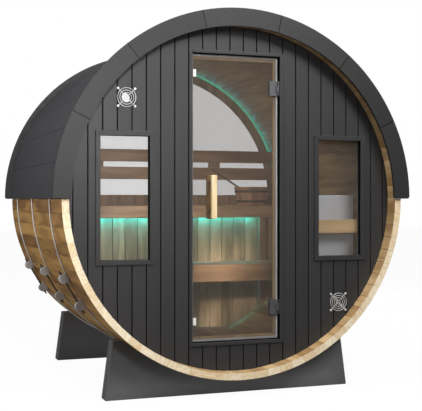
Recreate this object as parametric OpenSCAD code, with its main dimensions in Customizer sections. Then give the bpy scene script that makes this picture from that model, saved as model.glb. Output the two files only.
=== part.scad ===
// Barrel sauna: a round cabin of straight staves lying on two cradles, with a
// half roof over it, a recessed front wall with a glass door, and benches inside.
// Millimetres, +Z up, the door faces -Y, origin on the ground under the middle.

/* [Barrel] */
// Outside diameter across the flats of the staves
barrel_d = 2200; // [1900:10:2400]
// Length of the staves
barrel_len = 2020; // [1800:10:2600]
// Thickness of a stave
stave_t = 42; // [28:1:50]
// Number of staves in the full ring
stave_count = 80; // [60:2:100]
// Joint left between two staves
stave_gap = 0.6; // [0.4:0.1:2]
// Bevel on the long edges of a stave
stave_bevel = 3; // [1:0.5:6]
// Height of the lowest stave above the ground
ground_clear = 110; // [60:5:200]

/* [Cradles] */
// Thickness of a cradle along the barrel
cradle_t = 105; // [60:1:140]
// Width of a cradle on the ground
cradle_foot_w = 1608; // [1300:2:1800]
// Width of a cradle at its top
cradle_top_w = 1514; // [1400:2:1700]
// Height of a cradle
cradle_h = 357; // [250:1:450]
// Distance from the end of the staves to a cradle
cradle_inset = 186; // [100:1:260]

/* [Hoops] */
// Diameter of a hoop rod
hoop_d = 9; // [6:1:12]
// Distance from the front of the staves to the first hoop
hoop_first = 368; // [330:1:420]
// Distance between two hoops
hoop_pitch = 668; // [500:1:700]
// Number of hoops
hoop_count = 3; // [2:1:3]
// Angle of the upper tension lug below the left side
lug_high_deg = 25.5; // [20:0.5:29]
// Angle of the lower tension lug below the left side
lug_low_deg = 35.5; // [33:0.5:45]
// Diameter of a tension lug
lug_d = 58; // [30:1:62]
// Length of a tension lug
lug_len = 38; // [20:1:60]
// Angle by which a hoop end runs past its lug
hoop_tail_deg = 2.2; // [2:0.1:3]
// Diameter of the threaded tension rod
tie_d = 10; // [6:1:14]
// Length of tension rod standing out past a lug
tie_stub = 26; // [15:1:50]
// Width across the corners of a tension nut
nut_d = 19; // [12:0.5:26]
// Thickness of a tension nut
nut_t = 9; // [5:0.5:14]

/* [Roof] */
// Number of roof sheets laid along the barrel
sheet_count = 16; // [10:1:24]
// Thickness of a roof sheet
sheet_t = 5; // [3:0.5:10]
// Seam left between two sheets
sheet_gap = 2; // [1:0.5:5]
// How far the arched trim stands out past the staves
trim_proud = 54; // [25:1:80]
// Width of the arched trim boards
trim_w = 110; // [70:1:160]
// Thickness of the arched trim
trim_t = 18; // [12:1:40]
// Number of trim boards in the half round
trim_count = 7; // [5:1:12]
// Joint left between two trim boards
trim_gap = 1; // [0.5:0.1:3]
// Radius on the lower corners of the trim
trim_corner_r = 18; // [5:1:40]

/* [End walls] */
// Distance from the end of the staves to the face of a wall
wall_setback = 92; // [60:1:140]
// Thickness of the wall boards
wall_t = 42; // [28:1:50]
// Joint left between two wall boards
board_gap = 0.6; // [0.4:0.1:2]
// Bevel on the face edges of a wall board
board_bevel = 4; // [2:0.5:8]
// Number of boards over the door
door_boards = 7; // [5:1:9]

/* [Door] */
// Outside width of the door frame
door_frame_w = 620; // [560:2:700]
// Height of the top of the door frame above the barrel axis
door_top = 908; // [800:1:930]
// Depth of the foot of the door frame below the barrel axis
door_foot = 898; // [800:1:930]
// Face width of the door frame
door_face = 22; // [18:1:50]
// How far frames and casings stand out from the wall
frame_proud = 10; // [4:1:20]
// Width of the stop behind the glass
stop_w = 34; // [24:1:45]
// Width of the stop on the closing side
latch_stop_w = 13; // [12:1:20]
// Thickness of the stop behind the glass
stop_t = 14; // [10:1:18]
// Width of the seal on the stop
seal_w = 12; // [8:1:14]
// Thickness of the seal
seal_t = 4; // [3:0.5:5]
// Thickness of the door glass
door_glass_t = 8; // [6:1:10]
// Clearance round the door glass
door_clear = 6; // [5:0.5:8]
// Clearance between the door glass and the seal
door_seal_clear = 5; // [5:0.5:6]

/* [Door fittings] */
// Distance from the right side of the opening to the hinge pin
pin_inset = 10; // [9:0.5:14]
// Depth of the hinge pin behind the face of the frame
pin_depth = 8; // [7:0.5:12]
// Radius of the hinge pin
pin_r = 3.5; // [2.5:0.1:4]
// Running clearance of the hinge pin
pin_clear = 0.06; // [0.03:0.01:0.1]
// Radius of the hinge knuckle
knuckle_r = 6; // [5:0.1:7]
// Height of a hinge
hinge_h = 92; // [80:1:140]
// Share of the hinge height taken by the moving knuckle
knuckle_share = 0.44; // [0.3:0.01:0.6]
// Height of the middle of the upper hinge above the barrel axis
hinge_high = 688; // [500:1:760]
// Depth of the middle of the lower hinge below the barrel axis
hinge_low = 675; // [500:1:760]
// Width of the hinge plate on the glass
clamp_w = 50; // [40:1:80]
// Thickness of the outer hinge plate
clamp_t = 8; // [5:0.5:10]
// Thickness of the inner hinge plate
clamp_back_t = 4; // [2:0.5:4]
// Width of a handle bar
handle_w = 36; // [30:1:50]
// Thickness of a handle bar
handle_t = 26; // [20:1:40]
// Height of a handle bar
handle_h = 266; // [200:1:400]
// Free space between a handle bar and the glass
handle_gap = 24; // [20:1:50]
// Distance from the middle of the door to the handle
handle_x = 158; // [120:1:200]
// Height of the middle of the handle above the barrel axis
handle_z = 10; // [-100:1:100]
// Diameter of a handle spacer
spacer_d = 20; // [14:1:30]
// Share of the handle height between the two spacers
spacer_share = 0.66; // [0.5:0.01:0.8]
// Width of a catch plate on the glass
catch_w = 20; // [12:1:30]
// Height of a catch plate
catch_h = 46; // [30:1:80]
// Thickness of a catch plate
catch_t = 5; // [3:0.5:8]
// Distance from the edge of the glass to a catch plate
catch_inset = 1; // [0:0.5:10]
// Height of the upper catch plate above the barrel axis
catch_high = 763; // [600:1:780]
// Depth of the lower catch plate below the barrel axis
catch_low = 747; // [600:1:780]

/* [Windows] */
// Width of the window opening
win_w = 300; // [240:1:340]
// Height of the window opening
win_h = 736; // [500:1:800]
// Distance from the middle of the sauna to the middle of a window
win_x = 706; // [690:1:720]
// Height of the middle of a window above the barrel axis
win_z = 4; // [-50:1:50]
// Width of the casing round a window
casing_w = 30; // [26:1:45]
// Thickness of the lining in the wall
lining_t = 20; // [12:1:25]
// Joint left at the mitred corners
mitre_gap = 0.6; // [0.4:0.1:1.5]
// Thickness of the window panes
pane_t = 6; // [4:1:8]
// Depth of a pane behind the face of the casing
pane_depth = 40; // [20:1:45]

/* [Vents] */
// Distance from the middle of the sauna to a vent
vent_x = 697; // [670:1:740]
// Height of the upper vent above the barrel axis
vent_high = 600; // [520:1:680]
// Depth of the lower vent below the barrel axis
vent_low = 660; // [520:1:690]
// Diameter of the hole through the wall
vent_d = 60; // [40:1:76]
// Diameter of the outer ring of a vent guard
guard_d = 112; // [90:1:140]
// Number of rings in a vent guard
guard_rings = 4; // [2:1:6]
// Thickness of the guard wire
guard_wire = 3; // [2:0.5:5]
// Half distance between the screw eyes of a guard
guard_eye = 52; // [40:1:70]
// Diameter of a screw eye
guard_eye_d = 13; // [9:0.5:20]

/* [Back window] */
// Width of the frame boards round the half round window
moon_frame_w = 70; // [50:1:200]
// Height of the window sill above the barrel axis
moon_sill = 33; // [0:1:120]
// Height of the rail under the window
moon_rail_h = 80; // [50:1:140]
// Number of frame boards round the window
moon_count = 6; // [4:1:10]
// Thickness of the back glass
moon_glass_t = 8; // [6:1:12]

/* [Benches] */
// Depth of the floor below the barrel axis
floor_drop = 960; // [900:1:990]
// Thickness of a floor board
floor_t = 25; // [20:1:35]
// Width of a floor board
floor_w = 120; // [90:1:124]
// Space between two floor boards
floor_gap = 8; // [4:1:10]
// Number of floor boards
floor_count = 6; // [4:1:6]
// Thickness of a floor joist
joist_t = 45; // [30:1:60]
// Number of floor joists
joist_count = 3; // [2:1:5]
// Depth of the upper bench below the barrel axis
upper_drop = 50; // [0:1:120]
// Distance from the front of the staves to the upper bench
upper_front = 1300; // [1250:1:1400]
// Depth of the lower bench below the barrel axis
lower_drop = 468; // [430:1:520]
// Distance from the front of the staves to the lower bench
lower_front = 980; // [900:1:1000]
// Thickness of the bench boards
bench_t = 28; // [20:1:40]
// Number of boards in the upper bench
upper_boards = 5; // [4:1:7]
// Number of boards in the lower bench
lower_boards = 3; // [2:1:5]
// Space between two bench boards
bench_gap = 9; // [5:1:20]
// Height of the board along the front of the upper bench
upper_fascia_h = 90; // [60:1:120]
// Height of the board along the front of the lower bench
lower_fascia_h = 122; // [90:1:150]
// Width of a bench post
post_w = 48; // [40:1:80]
// Depth of a bench post
post_t = 45; // [30:1:50]
// Distance from the middle of the sauna to a bench post
post_x = 692; // [600:1:740]
// Height of a bearer under the bench boards
bearer_h = 66; // [45:1:80]
// Width of a bearer under the bench boards
bearer_w = 44; // [30:1:56]
// Pitch of the boards in the bench front
panel_pitch = 94; // [70:1:120]
// Thickness of the boards in the bench front
panel_t = 16; // [12:1:20]
// Space between the boards in the bench front
panel_gap = 4; // [2:0.5:10]

/* [Backrest] */
// Height of a backrest board
rest_h = 96; // [70:1:120]
// Space between the two backrest boards
rest_gap = 41; // [25:1:60]
// Height of the foot of the backrest above the barrel axis
rest_z = 154; // [120:1:220]
// Distance from the front of the staves to the backrest
rest_front = 1790; // [1760:1:1810]
// Width of a backrest cleat
cleat_w = 92; // [60:1:120]
// Distance from the middle of the sauna to a cleat
cleat_x = 478; // [300:1:600]

/* [Lights] */
// Width of the light strip
strip_w = 12; // [8:1:16]
// Thickness of the light strip
strip_t = 10; // [5:1:11]

/* [Heater] */
// Width of the heater
heater_w = 347; // [300:1:360]
// Depth of the heater
heater_depth = 260; // [220:1:320]
// Height of the heater
heater_h = 583; // [450:1:590]
// Height of the top of the heater above the barrel axis
heater_top = 23; // [0:1:60]
// Distance from the middle of the sauna to the heater
heater_x = 713; // [690:1:715]
// Distance from the front of the staves to the heater
heater_front = 240; // [220:1:320]
// Radius on the upright edges of the heater
heater_r = 8; // [4:1:40]
// Height of the bed of stones above the heater
stone_h = 12; // [8:1:40]
// Width of the steel rim left round the stones
stone_rim = 14; // [8:1:30]
// Thickness of a heater stand board
stand_t = 30; // [20:1:45]
// Share of the heater width taken by the stand
stand_share = 0.86; // [0.7:0.01:0.9]
// Height of the guard rail in front of the heater
rail_h = 87; // [60:1:110]
// Depth of the top of the guard rail below the barrel axis
rail_drop = 136; // [100:1:180]
// Thickness of the guard rail
rail_t = 28; // [20:1:34]
// Length of the guard rail
rail_len = 404; // [398:1:420]
// Width of the blocks that hold the guard rail
rail_block_w = 28; // [20:1:30]
// Thickness of the blocks that hold the guard rail
rail_block_t = 16; // [12:1:25]

/* [Bucket] */
// Distance from the middle of the sauna to the bucket
bucket_x = 644; // [0:1:700]
// Distance from the front of the staves to the middle of the bucket
bucket_y = 1440; // [1440:1:1600]
// Outer radius of the bucket at its rim
bucket_rim_r = 134; // [100:1:140]
// Outer radius of the bucket at its foot
bucket_foot_r = 108; // [90:1:120]
// Height of the bucket
bucket_h = 140; // [120:1:160]
// Wall thickness of the bucket
bucket_wall = 12; // [6:1:14]
// Thickness of the bucket bottom
bucket_base = 15; // [8:1:20]
// Diameter of the ladle handle
ladle_d = 14; // [10:1:18]
// Length of the ladle handle
ladle_len = 435; // [380:1:460]
// Slope of the ladle handle
ladle_deg = 32; // [30:0.5:34]
// Radius of the ladle cup
cup_r = 26; // [22:1:27]
// Height of the ladle cup
cup_h = 49; // [46:1:54]
// Wall thickness of the ladle cup
cup_wall = 3; // [2:0.5:5]

/* [Hidden] */
$fn = 96;
seat_gap = 0.3;
overrun = 20;
full_turn = 360;
half_turn = 180;
right_angle = 90;
joint_gap = 0.5;
work_gap = 1;
lug_slack = 0.7;
round_steps = 360;
hoop_steps = 24;
half_share = 0.5;

r_out = barrel_d / 2;
r_in = r_out - stave_t;
r_fit = r_in - seat_gap;
axis_z = ground_clear + r_out;
front_y = -barrel_len / 2;
back_y = barrel_len / 2;
stave_deg = full_turn / stave_count;
stave_half_count = stave_count / 2;
function stave_half(r) = r * tan(stave_deg / 2) - stave_gap / 2;
r_corner = r_out / cos(stave_deg / 2);
r_seat = r_corner + seat_gap;

hoop_r = r_seat + hoop_d / 2;
lug_r = r_seat + lug_d / 2;
lug_mid_deg = half_turn + (lug_high_deg + lug_low_deg) / 2;
lug_half_deg = (lug_low_deg - lug_high_deg) / 2;
hoop_gap_deg = lug_low_deg - lug_high_deg - 2 * hoop_tail_deg;
tie_half = lug_r * sin(lug_half_deg);
tie_len = 2 * (tie_half + lug_d / 2 + tie_stub);
nut_z = tie_half + lug_d / 2 + seat_gap;

sheet_r = r_seat + hoop_d + seat_gap;
sheet_deg = half_turn / sheet_count;
trim_out_r = r_out + trim_proud;
trim_in_r = trim_out_r - trim_w;
trim_deg = half_turn / trim_count;
moon_deg = half_turn / moon_count;

wall_y = front_y + wall_setback;
wall_back = wall_y + wall_t;
frame_y = wall_y - frame_proud;
rear_in = back_y - wall_setback - wall_t;
rear_out = back_y - wall_setback;
board_pitch = door_frame_w / door_boards;
side_boards = ceil((r_fit - door_frame_w / 2) / board_pitch);

door_half = door_frame_w / 2 - door_face;
stop_half = door_half - stop_w;
latch_half = door_half - latch_stop_w;
stop_y = wall_back - stop_t;
seal_y = stop_y - seal_t;
glass_back = seal_y - door_seal_clear;
glass_y = glass_back - door_glass_t;
open_top = door_top - door_face;
open_foot = -door_foot + door_face;
pin_x = door_half - pin_inset;
pin_y = frame_y + pin_depth;
glass_right = pin_x - knuckle_r;
glass_left = -door_half + door_clear;
clamp_right = glass_right - seat_gap;
knuckle_h = hinge_h * knuckle_share;
leaf_x = pin_x + knuckle_r + joint_gap;
seal_half = door_half - door_clear;

rear_boards = 2 * ceil(r_fit / board_pitch);
rear_half = rear_boards * board_pitch / 2;
moon_r = r_fit - moon_frame_w;
moon_foot = moon_sill - moon_rail_h;
moon_glass_y = (rear_in + rear_out - moon_glass_t) / 2;

upper_y = front_y + upper_front;
lower_y = front_y + lower_front;
post_y = upper_y + bench_t + 2 * work_gap;
panel_y = post_y + post_t + work_gap;
floor_front = wall_back + floor_gap;
floor_back = panel_y - work_gap;
upper_slat_y = upper_y + bench_t + joint_gap;
upper_slat_back = rear_in - seat_gap;
lower_slat_y = lower_y + bench_t + joint_gap;
lower_slat_back = post_y - seat_gap;

heater_y = front_y + heater_front;
heater_foot = heater_top - heater_h;
stone_w = heater_w - 2 * stone_rim;
stone_depth = heater_depth - 2 * stone_rim;
bucket_z = axis_z - upper_drop + seat_gap;
ladle_x = bucket_x - bucket_rim_r + bucket_wall;
ladle_z = bucket_z + bucket_h + ladle_d / 2 / cos(ladle_deg) + seat_gap;
cup_x = bucket_x + bucket_foot_r - bucket_wall - cup_r - 2 * cup_wall;
cup_z = bucket_z + bucket_base + seat_gap;

// Flat shape in X and Z, given a length along Y
module along_y(y0, y1) {
  translate([0, y1, 0]) rotate([right_angle, 0, 0]) linear_extrude(y1 - y0) children();
}

// The same, with the flat shape drawn round the barrel axis
module on_axis(y0, y1) {
  translate([0, 0, axis_z]) along_y(y0, y1) children();
}

// A box by its faces, heights measured from the barrel axis
module block(x0, x1, y0, y1, z0, z1) {
  translate([x0, y0, axis_z + z0]) cube([x1 - x0, y1 - y0, z1 - z0]);
}

// Long round bar on the barrel axis
module bore(r) {
  translate([0, -barrel_len, axis_z]) rotate([-right_angle, 0, 0])
    cylinder(r = r, h = 2 * barrel_len, $fn = round_steps);
}

// Keeps what lies inside the staves
module inside_barrel() {
  intersection() {
    children();
    bore(r_fit);
  }
}

// A place on the rim: X points outwards and Z runs round
module on_rim(deg, r, y) {
  translate([0, y, axis_z]) rotate([0, -deg, 0]) translate([r, 0, 0]) children();
}

// Both sides of the sauna
module both_sides() {
  children();
  mirror([1, 0, 0]) children();
}

// Part of a flat ring between two angles
module ring_part(r0, r1, deg0, deg1) {
  far = 2 * r1;
  mid = (deg0 + deg1) / 2;
  intersection() {
    difference() {
      circle(r = r1, $fn = round_steps);
      circle(r = r0, $fn = round_steps);
    }
    polygon([
      [0, 0],
      [far * cos(deg0), far * sin(deg0)],
      [far * cos(mid), far * sin(mid)],
      [far * cos(deg1), far * sin(deg1)]
    ]);
  }
}

// Rectangle with round corners
module round_rect(w, d, r) {
  square([w - 2 * r, d], center = true);
  square([w, d - 2 * r], center = true);
  for (sx = [-1, 1], sy = [-1, 1]) translate([sx * (w / 2 - r), sy * (d / 2 - r)]) circle(r = r);
}

module stave_section() {
  r0 = r_in + stave_bevel;
  r1 = r_out - stave_bevel;
  polygon([
    [r_in, -stave_half(r_in) + stave_bevel],
    [r0, -stave_half(r0)],
    [r1, -stave_half(r1)],
    [r_out, -stave_half(r_out) + stave_bevel],
    [r_out, stave_half(r_out) - stave_bevel],
    [r1, stave_half(r1)],
    [r0, stave_half(r0)],
    [r_in, stave_half(r_in) - stave_bevel]
  ]);
}

module stave_run(first, last) {
  for (i = [first:last]) on_axis(front_y, back_y) rotate((i + half_share) * stave_deg) stave_section();
}

module upper_staves() color("burlywood") stave_run(0, stave_half_count - 1);

module lower_staves() color("peru") stave_run(stave_half_count, stave_count - 1);

module cradle(y0) {
  foot = cradle_foot_w / 2;
  top = cradle_top_w / 2;
  difference() {
    along_y(y0, y0 + cradle_t) polygon([[-foot, 0], [foot, 0], [top, cradle_h], [-top, cradle_h]]);
    bore(r_seat);
  }
}

module front_cradle() color("dimgray") cradle(front_y + cradle_inset);

module back_cradle() color("dimgray") cradle(back_y - cradle_inset - cradle_t);

function hoop_y(i) = front_y + hoop_first + i * hoop_pitch;

// The opening of a hoop between its two ends
module hoop_gap() {
  far = 2 * r_out;
  deg0 = lug_mid_deg - hoop_gap_deg / 2;
  deg1 = lug_mid_deg + hoop_gap_deg / 2;
  polygon([[0, 0], [far * cos(deg0), far * sin(deg0)], [far * cos(deg1), far * sin(deg1)]]);
}

module hoops() color("silver") {
  for (i = [0:hoop_count - 1]) difference() {
    translate([0, hoop_y(i), axis_z]) rotate([right_angle, 0, 0])
      rotate_extrude($fn = round_steps) translate([hoop_r, 0]) circle(d = hoop_d, $fn = hoop_steps);
    on_axis(hoop_y(i) - overrun, hoop_y(i) + overrun) hoop_gap();
  }
}

module lug(deg, y) {
  difference() {
    on_rim(deg, lug_r, y) rotate([right_angle, 0, 0]) cylinder(d = lug_d, h = lug_len, center = true);
    on_rim(deg, hoop_r, y) cylinder(d = hoop_d + 2 * lug_slack, h = 2 * lug_d, center = true);
    on_rim(lug_mid_deg, lug_r * cos(lug_half_deg), y)
      cylinder(d = tie_d + 2 * seat_gap, h = tie_len, center = true);
  }
}

module hoop_lugs() color("gainsboro") {
  for (i = [0:hoop_count - 1], deg = [lug_high_deg, lug_low_deg]) lug(half_turn + deg, hoop_y(i));
}

module tension_rods() color("darkslategray") {
  for (i = [0:hoop_count - 1]) on_rim(lug_mid_deg, lug_r * cos(lug_half_deg), hoop_y(i)) {
    cylinder(d = tie_d, h = tie_len, center = true);
    translate([0, 0, nut_z]) cylinder(d = nut_d, h = nut_t, $fn = 6);
    translate([0, 0, -nut_z - nut_t]) cylinder(d = nut_d, h = nut_t, $fn = 6);
  }
}

module roof_sheets() color("darkslategray") {
  gap_deg = sheet_gap / sheet_r * half_turn / PI / 2;
  for (i = [0:sheet_count - 1]) on_axis(front_y + seat_gap, back_y - seat_gap)
    ring_part(sheet_r, sheet_r + sheet_t, i * sheet_deg + gap_deg, (i + 1) * sheet_deg - gap_deg);
}

// What a round corner at the foot of the trim takes away
module trim_corner() {
  difference() {
    translate([-overrun, -overrun]) square(trim_corner_r + overrun);
    translate([trim_corner_r, trim_corner_r]) circle(r = trim_corner_r);
    translate([trim_corner_r, -overrun]) square(overrun + trim_corner_r);
    translate([-overrun, trim_corner_r]) square(overrun + trim_corner_r);
  }
}

module roof_trim(y0) {
  gap_deg = trim_gap / trim_out_r * half_turn / PI / 2;
  for (i = [0:trim_count - 1]) on_axis(y0, y0 + trim_t) difference() {
    ring_part(trim_in_r, trim_out_r, i * trim_deg + gap_deg, (i + 1) * trim_deg - gap_deg);
    for (side = [0, 1]) mirror([side, 0]) {
      translate([trim_in_r, 0]) trim_corner();
      translate([trim_out_r, 0]) mirror([1, 0]) trim_corner();
    }
  }
}

module front_roof_trim() color("gray") roof_trim(front_y - trim_t);

module back_roof_trim() color("gray") roof_trim(back_y);

// One upright wall board, bevelled on its face edges, cut to the round
module wall_board(x0, x1, z0, z1) {
  a = x0 + board_gap / 2;
  b = x1 - board_gap / 2;
  inside_barrel() translate([0, 0, axis_z + z0]) linear_extrude(z1 - z0) polygon([
    [a, wall_back],
    [a, wall_y + board_bevel],
    [a + board_bevel, wall_y],
    [b - board_bevel, wall_y],
    [b, wall_y + board_bevel],
    [b, wall_back]
  ]);
}

module window_cut() {
  w = win_w / 2 + lining_t + seat_gap;
  h = win_h / 2 + lining_t + seat_gap;
  block(win_x - w, win_x + w, wall_y - overrun, wall_back + overrun, win_z - h, win_z + h);
}

module vent_cut(z) {
  translate([vent_x, wall_y - overrun, axis_z + z]) rotate([-right_angle, 0, 0])
    cylinder(d = vent_d, h = wall_t + 2 * overrun);
}

module wall_side(vent_z) {
  for (i = [0:side_boards - 1]) difference() {
    wall_board(
      door_frame_w / 2 + i * board_pitch, door_frame_w / 2 + (i + 1) * board_pitch,
      -r_out, r_out);
    window_cut();
    vent_cut(vent_z);
  }
}

module front_wall_left() color("gray") mirror([1, 0, 0]) wall_side(vent_high);

module front_wall_right() color("gray") wall_side(-vent_low);

module front_wall_over_door() color("gray") {
  for (i = [0:door_boards - 1]) wall_board(
    i * board_pitch - door_frame_w / 2, (i + 1) * board_pitch - door_frame_w / 2,
    door_top + seat_gap, r_out);
}

module front_wall_under_door() color("gray") {
  for (i = [0:door_boards - 1]) wall_board(
    i * board_pitch - door_frame_w / 2, (i + 1) * board_pitch - door_frame_w / 2,
    -r_out, -door_foot - seat_gap);
}

module door_frame() color("dimgray") {
  both_sides() block(door_half, door_frame_w / 2 - seat_gap, frame_y, wall_back, -door_foot, door_top);
  cross = door_half - joint_gap;
  left = -latch_half + joint_gap;
  right = stop_half - joint_gap;
  low = open_foot + joint_gap;
  high = open_top - joint_gap;
  block(-cross, cross, frame_y, wall_back, open_top, door_top);
  block(-cross, cross, frame_y, wall_back, -door_foot, open_foot);
  block(stop_half, door_half + seat_gap, stop_y, wall_back, low, high);
  block(-door_half - seat_gap, -latch_half, stop_y, wall_back, low, high);
  block(left, right, stop_y, wall_back, open_top - stop_w, open_top + seat_gap);
  block(left, right, stop_y, wall_back, open_foot - seat_gap, open_foot + stop_w);
}

module door_seal() color("lightgray") {
  high = open_top - door_clear;
  low = open_foot + door_clear;
  left = -latch_half + joint_gap;
  right = seal_half - seal_w - joint_gap;
  block(seal_half - seal_w, seal_half, seal_y, stop_y, low, high);
  block(-seal_half, -latch_half, seal_y, stop_y, low, high);
  block(left, right, seal_y, stop_y, high - seal_w, high);
  block(left, right, seal_y, stop_y, low, low + seal_w);
}

module door_glass() color("tan") {
  block(glass_left, glass_right, glass_y, glass_back, open_foot + door_clear, open_top - door_clear);
}

module knuckle(r, z0, z1) {
  translate([pin_x, pin_y, axis_z + z0]) cylinder(r = r, h = z1 - z0);
}

module hinge_leaf(z) {
  foot = z - hinge_h / 2;
  top = z + hinge_h / 2;
  gap = knuckle_h / 2 + joint_gap;
  block(leaf_x, door_half, pin_y - knuckle_r, glass_back, foot, top);
  knuckle(knuckle_r, foot, z - gap);
  knuckle(knuckle_r, z + gap, top);
  knuckle(pin_r, foot, top);
  block(pin_x, leaf_x + joint_gap, pin_y - pin_r, pin_y + pin_r, foot, z - gap);
  block(pin_x, leaf_x + joint_gap, pin_y - pin_r, pin_y + pin_r, z + gap, top);
}

module door_hinge_leaves() color("slategray") {
  hinge_leaf(hinge_high);
  hinge_leaf(-hinge_low);
}

module hinge_clamp(z) {
  left = clamp_right - clamp_w;
  foot = z - hinge_h / 2;
  top = z + hinge_h / 2;
  block(left, clamp_right, glass_y - clamp_t, glass_y, foot, top);
  difference() {
    union() {
      knuckle(knuckle_r, z - knuckle_h / 2, z + knuckle_h / 2);
      block(clamp_right - clamp_t, pin_x, pin_y - pin_r, glass_y - seat_gap,
        z - knuckle_h / 2, z + knuckle_h / 2);
    }
    knuckle(pin_r + pin_clear, z - hinge_h, z + hinge_h);
  }
  block(left, clamp_right - clamp_t, glass_back, glass_back + clamp_back_t, foot, top);
}

module door_hinge_clamps() color("slategray") {
  hinge_clamp(hinge_high);
  hinge_clamp(-hinge_low);
}

module handle_bar(y0) {
  block(-handle_x - handle_w / 2, -handle_x + handle_w / 2, y0, y0 + handle_t,
    handle_z - handle_h / 2, handle_z + handle_h / 2);
}

module handle_spacers(y0) {
  for (side = [-1, 1])
    translate([-handle_x, y0, axis_z + handle_z + side * handle_h * spacer_share / 2])
      rotate([-right_angle, 0, 0]) cylinder(d = spacer_d, h = handle_gap + joint_gap);
}

module door_handle_outside() color("wheat") {
  handle_bar(glass_y - handle_gap - handle_t);
  handle_spacers(glass_y - handle_gap - joint_gap);
}

module door_handle_inside() color("wheat") {
  handle_bar(glass_back + handle_gap);
  handle_spacers(glass_back);
}

module door_catch(z) {
  left = glass_left + catch_inset;
  block(left, left + catch_w, glass_y - catch_t, glass_y, z - catch_h / 2, z + catch_h / 2);
}

module door_catches() color("white") {
  door_catch(catch_high);
  door_catch(-catch_low);
}

// A slot along one mitre line of a window frame
module mitre_slot(sx, sz) {
  reach = 2 * casing_w;
  translate([win_x + sx * win_w / 2, frame_y - overrun, axis_z + win_z + sz * win_h / 2])
    rotate([0, -sx * sz * right_angle / 2, 0])
      translate([-reach, 0, -mitre_gap / 2]) cube([2 * reach, wall_setback + wall_t, mitre_gap]);
}

module window_frame() {
  w = win_w / 2;
  h = win_h / 2;
  difference() {
    union() {
      block(win_x - w - casing_w, win_x + w + casing_w, frame_y, wall_y,
        win_z - h - casing_w, win_z + h + casing_w);
      block(win_x - w - lining_t, win_x + w + lining_t, wall_y - joint_gap, wall_back,
        win_z - h - lining_t, win_z + h + lining_t);
    }
    block(win_x - w, win_x + w, frame_y - overrun, wall_back + overrun, win_z - h, win_z + h);
    for (sx = [-1, 1], sz = [-1, 1]) mitre_slot(sx, sz);
  }
}

module window_pane() {
  w = win_w / 2 - seat_gap;
  h = win_h / 2 - seat_gap;
  block(win_x - w, win_x + w, frame_y + pane_depth, frame_y + pane_depth + pane_t, win_z - h, win_z + h);
}

module left_window_frame() color("dimgray") mirror([1, 0, 0]) window_frame();

module left_window_pane() color("lightcyan") mirror([1, 0, 0]) window_pane();

module right_window_frame() color("dimgray") window_frame();

module right_window_pane() color("lightcyan") window_pane();

module guard_face() {
  step = guard_d / 2 / guard_rings;
  for (i = [1:guard_rings]) difference() {
    circle(r = i * step);
    circle(r = i * step - guard_wire);
  }
  for (deg = [right_angle / 2, -right_angle / 2]) rotate(deg)
    square([2 * guard_eye * sqrt(2), guard_wire], center = true);
  for (sx = [-1, 1], sz = [-1, 1]) translate([sx * guard_eye, sz * guard_eye]) circle(d = guard_eye_d);
}

module vent_guard(x, z) {
  translate([x, 0, axis_z + z]) along_y(wall_y - guard_wire, wall_y) guard_face();
}

module upper_vent_guard() color("silver") vent_guard(-vent_x, vent_high);

module lower_vent_guard() color("silver") vent_guard(vent_x, -vent_low);

module back_wall_boards() color("burlywood") {
  for (i = [0:rear_boards - 1]) inside_barrel() block(
    i * board_pitch - rear_half + board_gap / 2, (i + 1) * board_pitch - rear_half - board_gap / 2,
    rear_in, rear_out, -r_out, moon_foot - seat_gap);
}

module back_window_frame() color("saddlebrown") {
  gap_deg = mitre_gap / r_fit * half_turn / PI / 2;
  for (i = [0:moon_count - 1]) intersection() {
    on_axis(rear_in, rear_out)
      ring_part(moon_r, r_fit, i * moon_deg + gap_deg, (i + 1) * moon_deg - gap_deg);
    block(-r_out, r_out, rear_in - overrun, rear_out + overrun, moon_sill + mitre_gap, r_out);
  }
  inside_barrel() block(-r_out, r_out, rear_in, rear_out, moon_foot, moon_sill);
}

module back_window_glass() color("lightcyan") {
  intersection() {
    on_axis(moon_glass_y, moon_glass_y + moon_glass_t) circle(r = moon_r - seat_gap, $fn = round_steps);
    block(-r_out, r_out, rear_in, rear_out, moon_sill + seat_gap, r_out);
  }
}

module floor_boards() color("burlywood") {
  pitch = floor_w + floor_gap;
  left = -(floor_count * pitch - floor_gap) / 2;
  for (i = [0:floor_count - 1])
    block(left + i * pitch, left + i * pitch + floor_w, floor_front, floor_back,
      -floor_drop - floor_t, -floor_drop);
}

module floor_joists() color("tan") {
  reach = (floor_count * (floor_w + floor_gap) - floor_gap) / 2;
  step = (floor_back - floor_front - joist_t - 2 * wall_t) / (joist_count - 1);
  for (i = [0:joist_count - 1]) inside_barrel() block(
    -reach, reach, floor_front + wall_t + i * step, floor_front + wall_t + i * step + joist_t,
    -r_out, -floor_drop - floor_t - seat_gap);
}

// Boards across the cabin, from one depth to another
module bench_run(y0, y1, count, drop) {
  board = (y1 - y0 - (count - 1) * bench_gap) / count;
  pitch = board + bench_gap;
  for (i = [0:count - 1]) inside_barrel()
    block(-r_out, r_out, y0 + i * pitch, y0 + i * pitch + board, -drop - bench_t, -drop);
}

module upper_bench() color("burlywood") {
  bench_run(upper_slat_y, upper_slat_back, upper_boards, upper_drop);
  inside_barrel()
    block(-r_out, r_out, upper_y, upper_y + bench_t, -upper_drop - upper_fascia_h, -upper_drop);
}

module lower_bench() color("burlywood") {
  bench_run(lower_slat_y, lower_slat_back, lower_boards, lower_drop);
  inside_barrel()
    block(-r_out, r_out, lower_y, lower_y + bench_t, -lower_drop - lower_fascia_h, -lower_drop);
}

module bench_posts() color("tan") {
  x0 = post_x - post_w / 2;
  x1 = post_x + post_w / 2;
  leg_top = -lower_drop - bench_t - bearer_h - 2 * seat_gap;
  both_sides() {
    inside_barrel() block(x0, x1, post_y, post_y + post_t, -r_out, -upper_drop - bench_t - seat_gap);
    inside_barrel() block(x0, x1, lower_slat_y, lower_slat_y + post_t, -r_out, leg_top);
  }
}

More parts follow.
